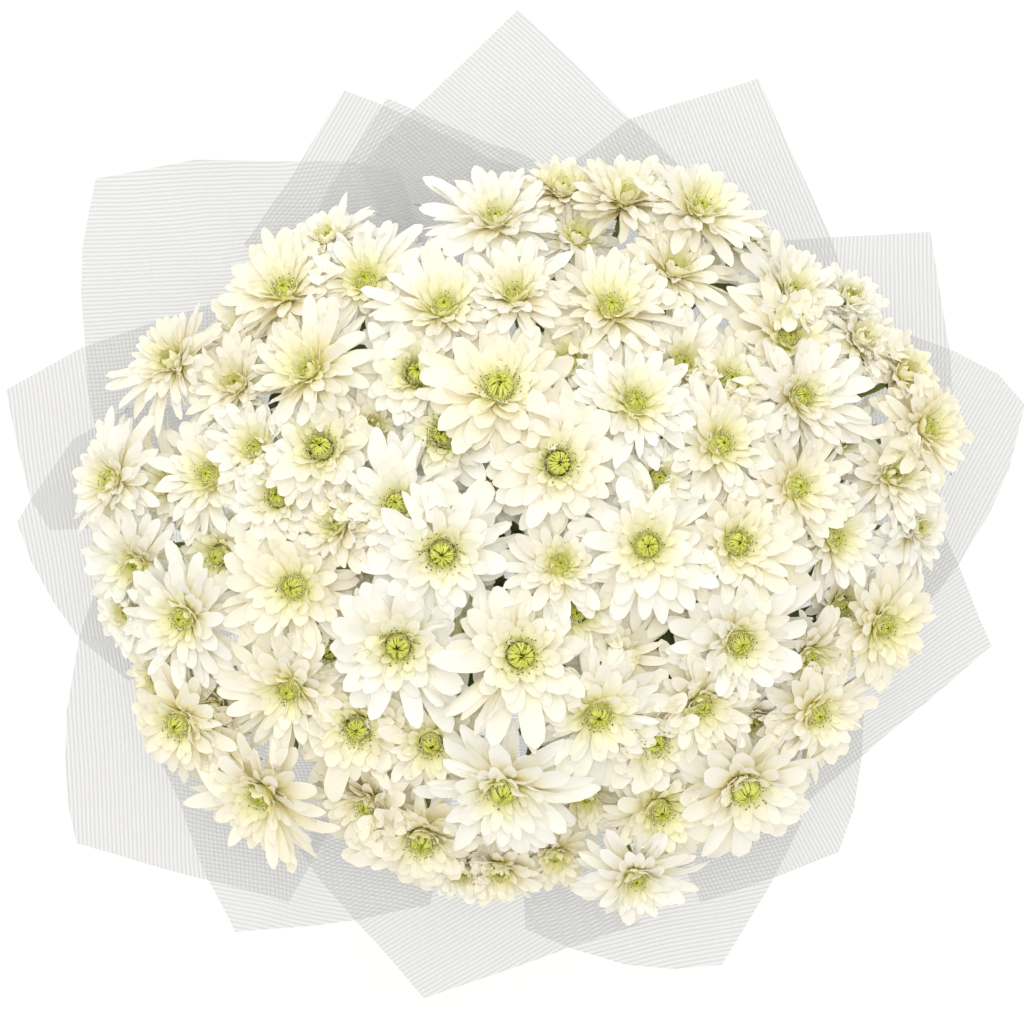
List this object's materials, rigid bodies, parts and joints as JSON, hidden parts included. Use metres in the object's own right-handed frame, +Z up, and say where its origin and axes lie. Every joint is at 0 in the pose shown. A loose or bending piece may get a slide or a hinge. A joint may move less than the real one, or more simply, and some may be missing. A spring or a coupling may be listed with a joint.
{
  "type": "wrapped chrysanthemum bouquet",
  "caption": "Round hand-tied bouquet of white spray chrysanthemums standing on its spiralled cut stems, in a flared collar of translucent striped mesh sheets.",
  "frame": {"origin": "on the surface the cut stems stand on, under the middle of the bounding box", "axes": "+Z up along the bouquet, +Y towards the top of the picture, +X to its right"},
  "size_m": [0.4498, 0.4338, 0.4529],
  "materials": {
    "petals": "matt, slightly waxy petal",
    "stem": "ribbed green stem",
    "leaf": "matt dark green leaf",
    "mesh_wrap": "translucent woven mesh with fine stripes",
    "twine": "plain twine"
  },
  "bodies": {
    "root": {"flower_spray_01": "petals", "flower_spray_02": "petals", "flower_spray_03": "petals", "flower_spray_04": "petals", "flower_spray_05": "petals", "flower_spray_06": "petals", "flower_spray_07": "petals", "flower_spray_08": "petals", "flower_spray_09": "petals", "flower_spray_10": "petals", "flower_spray_11": "petals", "flower_spray_12": "petals", "flower_spray_13": "petals", "flower_spray_14": "petals", "flower_spray_15": "petals", "flower_spray_16": "petals", "flower_spray_17": "petals", "flower_spray_18": "petals", "flower_spray_19": "petals", "stem_01": "stem", "stem_02": "stem", "stem_03": "stem", "stem_04": "stem", "stem_05": "stem", "stem_06": "stem", "stem_07": "stem", "stem_08": "stem", "stem_09": "stem", "stem_10": "stem", "stem_11": "stem", "stem_12": "stem", "stem_13": "stem", "stem_14": "stem", "stem_15": "stem", "stem_16": "stem", "stem_17": "stem", "stem_18": "stem", "stem_19": "stem", "leaf_01": "leaf", "leaf_02": "leaf", "leaf_03": "leaf", "leaf_04": "leaf", "leaf_05": "leaf", "leaf_06": "leaf", "leaf_07": "leaf", "leaf_08": "leaf", "leaf_09": "leaf", "leaf_10": "leaf", "leaf_11": "leaf", "leaf_12": "leaf", "wrap_sheet_1": "mesh_wrap", "wrap_sheet_2": "mesh_wrap", "wrap_sheet_3": "mesh_wrap", "wrap_sheet_4": "mesh_wrap", "wrap_sheet_5": "mesh_wrap", "wrap_sheet_6": "mesh_wrap", "wrap_sheet_7": "mesh_wrap", "wrap_sheet_8": "mesh_wrap", "tie": "twine"}
  },
  "joints": []
}
